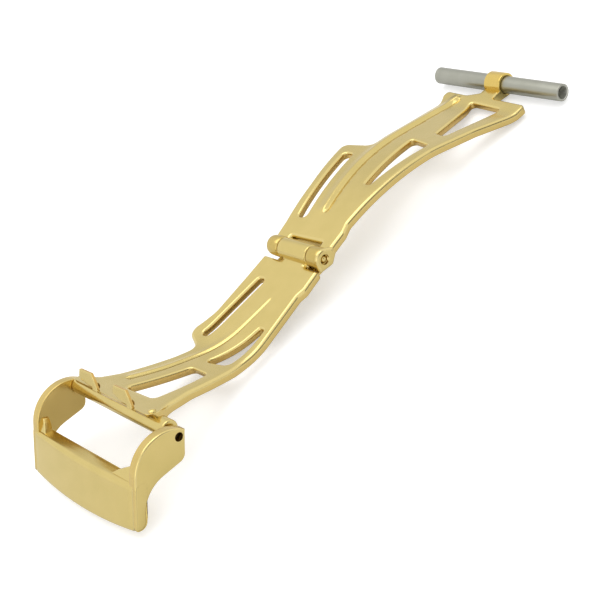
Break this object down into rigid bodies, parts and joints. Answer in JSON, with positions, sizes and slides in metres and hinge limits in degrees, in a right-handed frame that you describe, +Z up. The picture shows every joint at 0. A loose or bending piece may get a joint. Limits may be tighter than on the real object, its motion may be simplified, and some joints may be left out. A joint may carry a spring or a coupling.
{
  "type": "deployant clasp",
  "caption": "Folding deployant clasp for a leather watch strap: strap frame, two pierced curved blades on a centre hinge, and a spring bar tube.",
  "frame": {"origin": "under the middle of the open clasp, on the table it lies on", "axes": "+X along the strap from the buckle frame to the spring bar tube, +Y along the hinge pins to the clasp's left side, +Z up from the table"},
  "size_m": [0.0742, 0.0204, 0.0098],
  "materials": {
    "gold": "polished gold plate",
    "steel": "satin"
  },
  "bodies": {
    "outer_half": {"outer_blade": "gold", "crossbar": "gold", "frame_pin": "gold", "plate_rivets": "gold"},
    "inner_half": {"inner_blade": "gold", "hinge_pin": "gold"},
    "frame": {"buckle_frame": "gold"},
    "tube": {"spring_bar_tube": "steel"}
  },
  "joints": [
    {"name": "centre_fold", "type": "hinge", "parent": "outer_half", "child": "inner_half", "pos_m": [-0.00028, 0, 0.005], "axis": [0, -1, 0], "range_deg": [0, 172]},
    {"name": "frame_pivot", "type": "hinge", "parent": "outer_half", "child": "frame", "pos_m": [-0.02714, 0, 0.00598], "axis": [0, -1, 0], "range_deg": [-58, 120]},
    {"name": "tube_spin", "type": "hinge", "parent": "inner_half", "child": "tube", "pos_m": [0.03564, 0, 0.00149], "axis": [0, -1, 0], "continuous": true}
  ]
}
